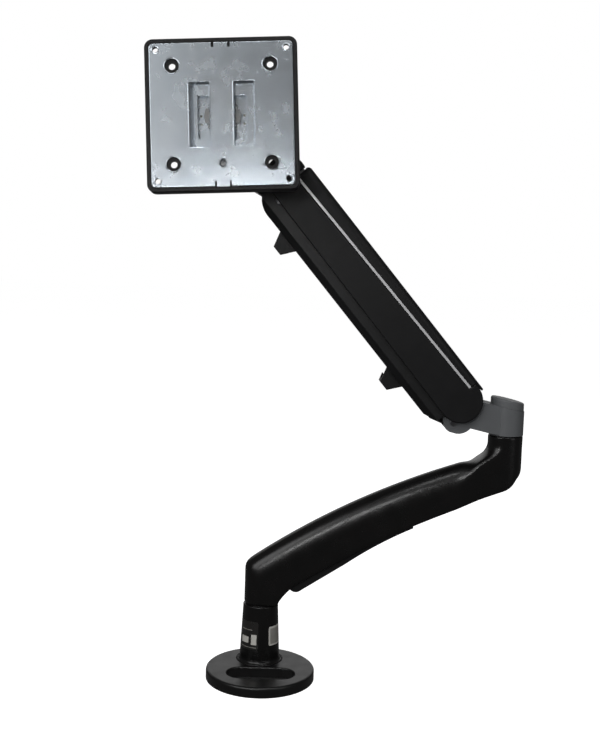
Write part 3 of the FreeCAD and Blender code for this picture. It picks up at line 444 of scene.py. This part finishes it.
bevelled_ledge()


# ---- base: blank labels on the post ---------------------------------------------------------------

POST_FOOT_R = 17.4
POST_FOOT_Z = 12.0
POST_TAPER = 2.3 / 50.0
FILM = 0.12             # thickness of a label
LABEL_STEPS = (20, 10)  # across and up


def post_radius(z):
    """Radius of the tapered post at a height."""
    return POST_FOOT_R - POST_TAPER * (z - POST_FOOT_Z)


def label(name, turn0, turn1, z0, z1, lift, material, corner=0.6):
    """A thin film that follows the post, between two turns from the front and two heights."""
    across, high = LABEL_STEPS
    bm = bmesh.new()
    layers = []
    for raised in (lift, lift + FILM):
        grid = []
        for j in range(high + 1):
            z = z0 + (z1 - z0) * j / high
            inset = math.degrees(corner / post_radius(z)) if j in (0, high) else 0.0
            line = []
            for i in range(across + 1):
                a = math.radians(turn0 + inset + (turn1 - turn0 - 2 * inset) * i / across)
                r = post_radius(z) + raised
                place = (r * math.sin(a) * MM, -r * math.cos(a) * MM, (z - GROUND) * MM)
                line.append(bm.verts.new(place))
            grid.append(line)
        layers.append(grid)
    for grid in layers:
        for j in range(high):
            for i in range(across):
                bm.faces.new((grid[j][i], grid[j][i + 1], grid[j + 1][i + 1], grid[j + 1][i]))
    inner, outer = layers
    rim = [(j, 0) for j in range(high + 1)] + [(high, i) for i in range(1, across + 1)]
    rim += [(j, across) for j in range(high - 1, -1, -1)] + [(0, i) for i in range(across - 1, 0, -1)]
    for (j, i), (m, k) in zip(rim, rim[1:] + rim[:1]):
        bm.faces.new((inner[j][i], inner[m][k], outer[m][k], outer[j][i]))
    piece(name, mesh_of(bm, name), material, "base")


label("label_left", -76, -3, 24.5, 49.0, 0.03, LABEL_DARK)
label("label_left_block_0", -62, -34, 30.0, 35.5, 0.18, LABEL_PALE, 0.2)
label("label_left_block_1", -25, -8, 29.0, 38.0, 0.18, LABEL_PALE, 0.2)
label("label_left_line_0", -68, -8, 26.4, 26.9, 0.18, LABEL_GREY, 0.0)
label("label_left_line_1", -62, -22, 41.4, 42.0, 0.18, LABEL_GREY, 0.0)
label("label_right", 30, 82, 28.0, 44.6, 0.03, LABEL_PALE)
label("label_right_field", 35, 77, 29.6, 43.0, 0.18, LABEL_GREY, 0.2)


# ---- floor, light and camera -----------------------------------------------------------------------

FLOOR_HALF = 12.0
FLOOR_GAP = 0.2 * MM
DISC_CENTRE = (1.5 * MM, -20.5 * MM, 0.0)
SHADE_INNER = 0.043     # the floor has painted shade (dark and unlit) within this of the disc's centre, and is pale past the next
SHADE_OUTER = 0.046
FLOOR_GLOW = 0.93
AMBIENT = 0.085


def floor():
    """A pale floor that glows evenly, with painted shade under the disc, dark and unlit, where the cable
    slot shows it.
    """
    bm = bmesh.new()
    bmesh.ops.create_grid(bm, x_segments=1, y_segments=1, size=FLOOR_HALF)
    mesh = bpy.data.meshes.new("floor")
    bm.to_mesh(mesh)
    bm.free()
    ground = bpy.data.objects.new("floor", mesh)
    bpy.context.scene.collection.objects.link(ground)
    ground.location.z = -FLOOR_GAP
    g = Graph("pale_floor")
    middle = g.add("ShaderNodeVectorMath", {0: g.coords, 1: DISC_CENTRE}, operation="DISTANCE")
    shade = {"Value": middle.outputs["Value"], "From Min": SHADE_INNER, "From Max": SHADE_OUTER}
    open_floor = g.add("ShaderNodeMapRange", shade).outputs[0]
    pale = g.mix(g.between(g.noise(0.6), 0.0, 1.0), linear((226, 226, 226)), linear((230, 230, 230)))
    # painted shade: a dark, unlit floor colour under the disc
    g.link(g.mix(open_floor, linear((30, 30, 30)), pale), "Base Color")
    glow = g.add("ShaderNodeMath", {0: open_floor, 1: FLOOR_GLOW}, operation="MULTIPLY")
    g.link(glow.outputs[0], "Emission Strength")
    g.shader.inputs["Roughness"].default_value = 0.9
    g.shader.inputs["Emission Color"].default_value = (1, 1, 1, 1)
    mesh.materials.append(g.material)
    ground.visible_glossy = False
    ground.visible_diffuse = False


def area_light(name, place, aim, width, height, power, roll):
    """A rectangular light aimed at a point and turned about its beam by roll degrees."""
    data = bpy.data.lights.new(name, "AREA")
    data.shape = "RECTANGLE"
    data.size, data.size_y = width, height
    data.energy = power
    lamp = bpy.data.objects.new(name, data)
    bpy.context.scene.collection.objects.link(lamp)
    lamp.location = place
    lamp.visible_camera = False
    facing = (Vector(aim) - Vector(place)).to_track_quat("-Z", "Y")
    lamp.rotation_euler = (facing @ Quaternion((0, 0, 1), math.radians(roll))).to_euler()


def world():
    """White to the camera, and a dim even light to everything else."""
    made = bpy.data.worlds.new("studio")
    bpy.context.scene.world = made
    made.use_nodes = True
    tree = made.node_tree
    back = tree.nodes["Background"]
    path = tree.nodes.new("ShaderNodeLightPath")
    level = tree.nodes.new("ShaderNodeMapRange")
    level.inputs["To Min"].default_value = AMBIENT
    level.inputs["To Max"].default_value = 1.0
    tree.links.new(path.outputs["Is Camera Ray"], level.inputs["Value"])
    tree.links.new(level.outputs[0], back.inputs["Strength"])
    back.inputs["Color"].default_value = (1.0, 1.0, 1.0, 1.0)


CAMERA_PLACE = (0.0281, -0.8915, 0.3586 - GROUND * MM)
CAMERA_LENS = 51.85
CAMERA_PITCH = math.radians(5.6)
CAMERA_ROLL = math.radians(1.7)


def camera():
    """In front of the arm, tipped down a little and rolled a little."""
    pitch, roll = CAMERA_PITCH, CAMERA_ROLL
    ahead = Vector((0, math.cos(pitch), -math.sin(pitch)))
    up = Vector((0, math.sin(pitch), math.cos(pitch)))
    side = Vector((1, 0, 0))
    turned_up = up * math.cos(roll) - side * math.sin(roll)
    turned_side = side * math.cos(roll) + up * math.sin(roll)
    data = bpy.data.cameras.new("camera")
    data.lens = CAMERA_LENS
    made = bpy.data.objects.new("camera", data)
    bpy.context.scene.collection.objects.link(made)
    place = Matrix.Translation(CAMERA_PLACE)
    turn = Matrix((turned_side, turned_up, -ahead)).transposed().to_4x4()
    made.matrix_world = place @ turn
    bpy.context.scene.camera = made


# name, place, aim, width, height, power, roll
LIGHTS = [
    ("key", (-1.3, -1.3, 1.15), (0.0, 0.0, 0.25), 0.9, 0.9, 9.0, 0.0),
    ("streak", (0.25, -0.9, 1.35), (0.1, 0.0, 0.15), 1.1, 0.16, 5.0, 0.0),
    ("fill", (1.2, -1.1, 0.55), (0.05, 0.0, 0.25), 0.6, 1.0, 2.0, 0.0),
    ("strip", (-0.18, -0.8, 0.43), (0.09, 0.0, 0.14), 0.40, 0.04, 1.5, 32.0),
    ("back", (0.0, 1.5, 0.7), (0.0, 0.0, 0.05), 2.0, 0.9, 3.4, 0.0),
    ("front_left", (-0.88, -2.0, 1.25), (-0.03, 0.0, 0.45), 0.9, 1.0, 2.9, 0.0),
    ("front_right", (0.15, -2.0, 1.25), (-0.03, 0.0, 0.45), 1.0, 1.0, 0.1, 0.0),
]

floor()
world()
camera()
for lamp_row in LIGHTS:
    area_light(*lamp_row)
bpy.context.scene.view_settings.view_transform = "Standard"
